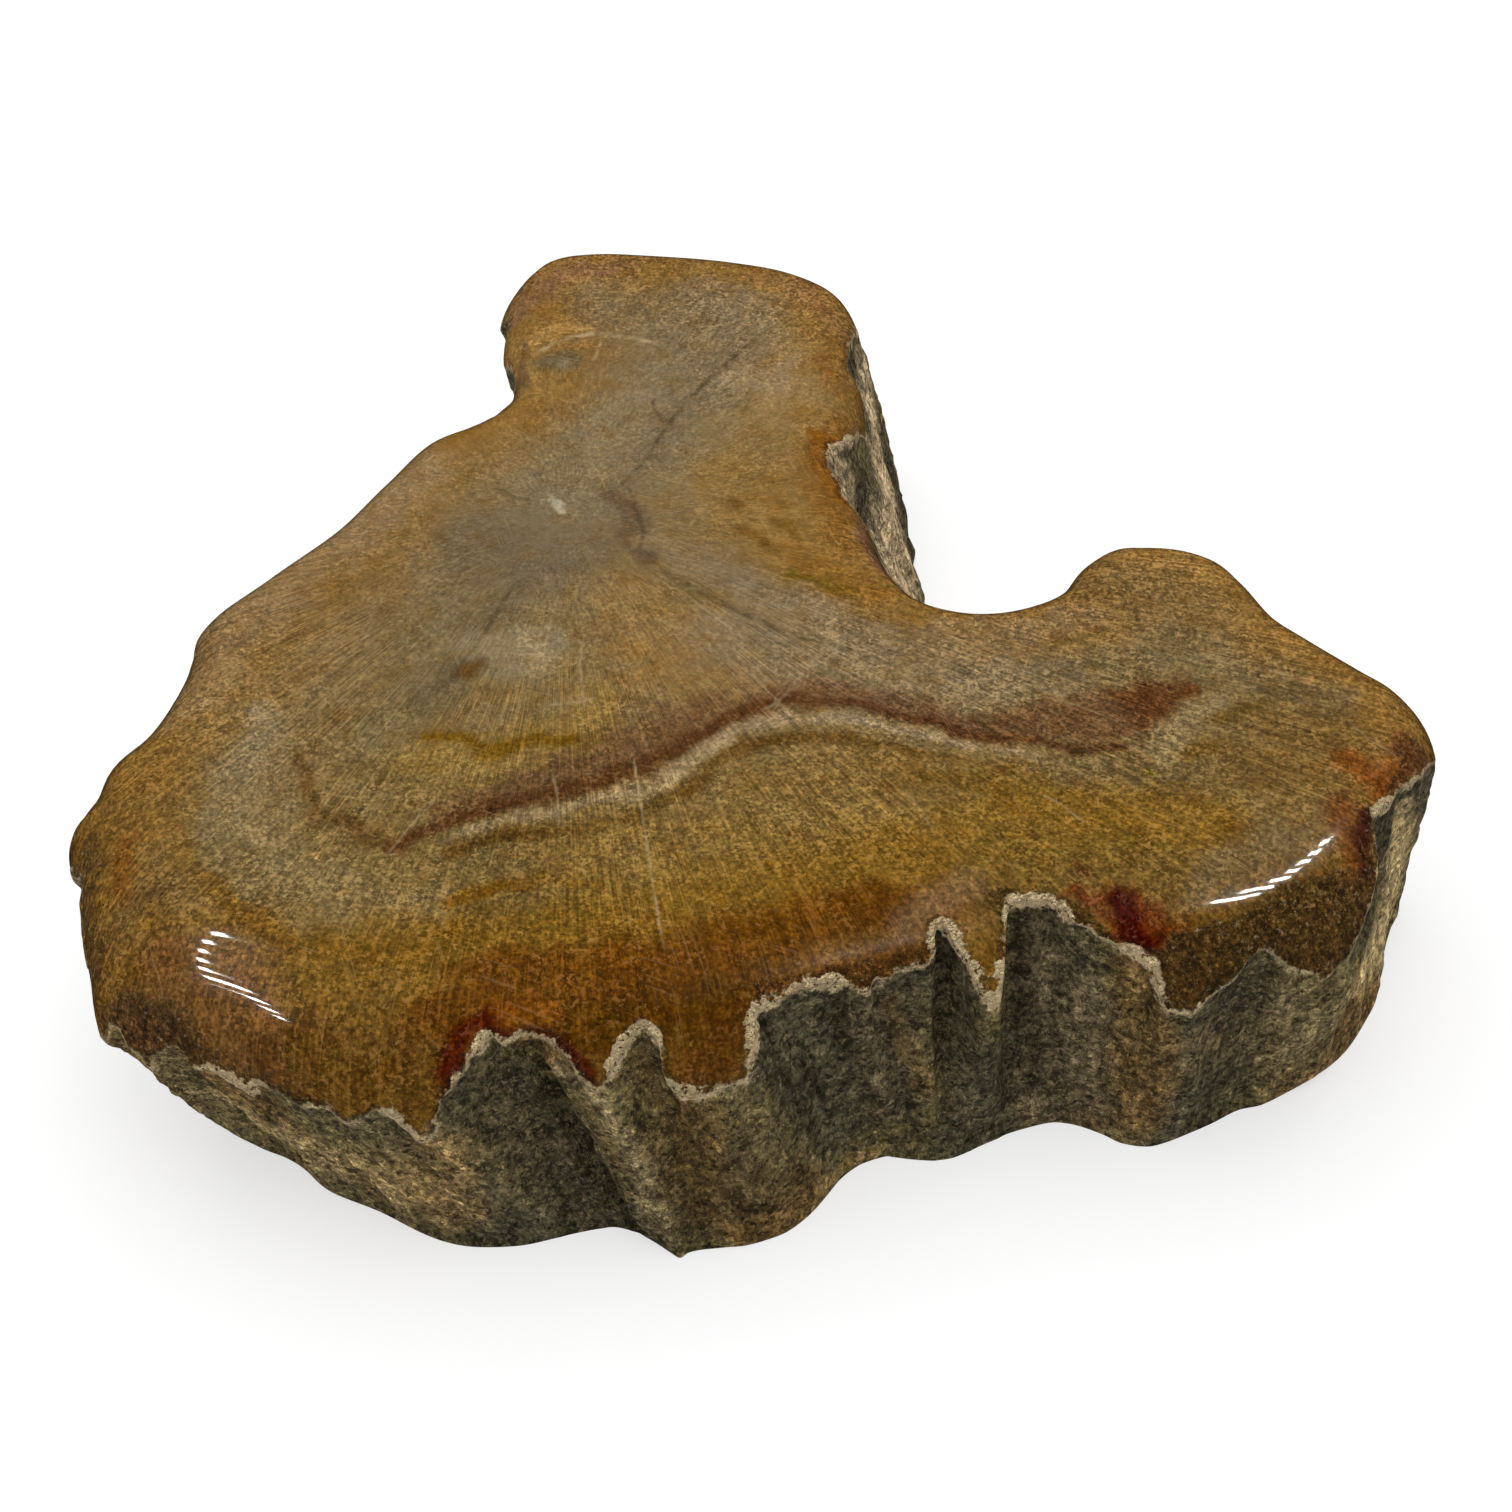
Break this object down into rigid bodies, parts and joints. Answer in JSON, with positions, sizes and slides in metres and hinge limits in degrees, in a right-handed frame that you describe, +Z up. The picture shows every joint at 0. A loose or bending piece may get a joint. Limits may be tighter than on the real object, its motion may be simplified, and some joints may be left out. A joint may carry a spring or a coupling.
{
  "type": "petrified wood slice",
  "caption": "Slab of petrified wood sawn across a flared root: lobed outline, glossy domed face with growth rings and veins, rough fluted side; it rests lying flat",
  "frame": {"origin": "centre of the bounding box in plan, on the sawn underside that the slab rests on", "axes": "+X to the viewer's right along the slab's longest extent, +Y away from the viewer towards the upper lobe, +Z up out of the polished face"},
  "size_m": [0.17, 0.1586, 0.038],
  "materials": {
    "petrified_wood": "silicified wood: polished to a gloss on the face and rounded shoulder, dull and granular round the natural side"
  },
  "bodies": {
    "root": {"petrified_wood_slice": "petrified_wood"}
  },
  "joints": []
}
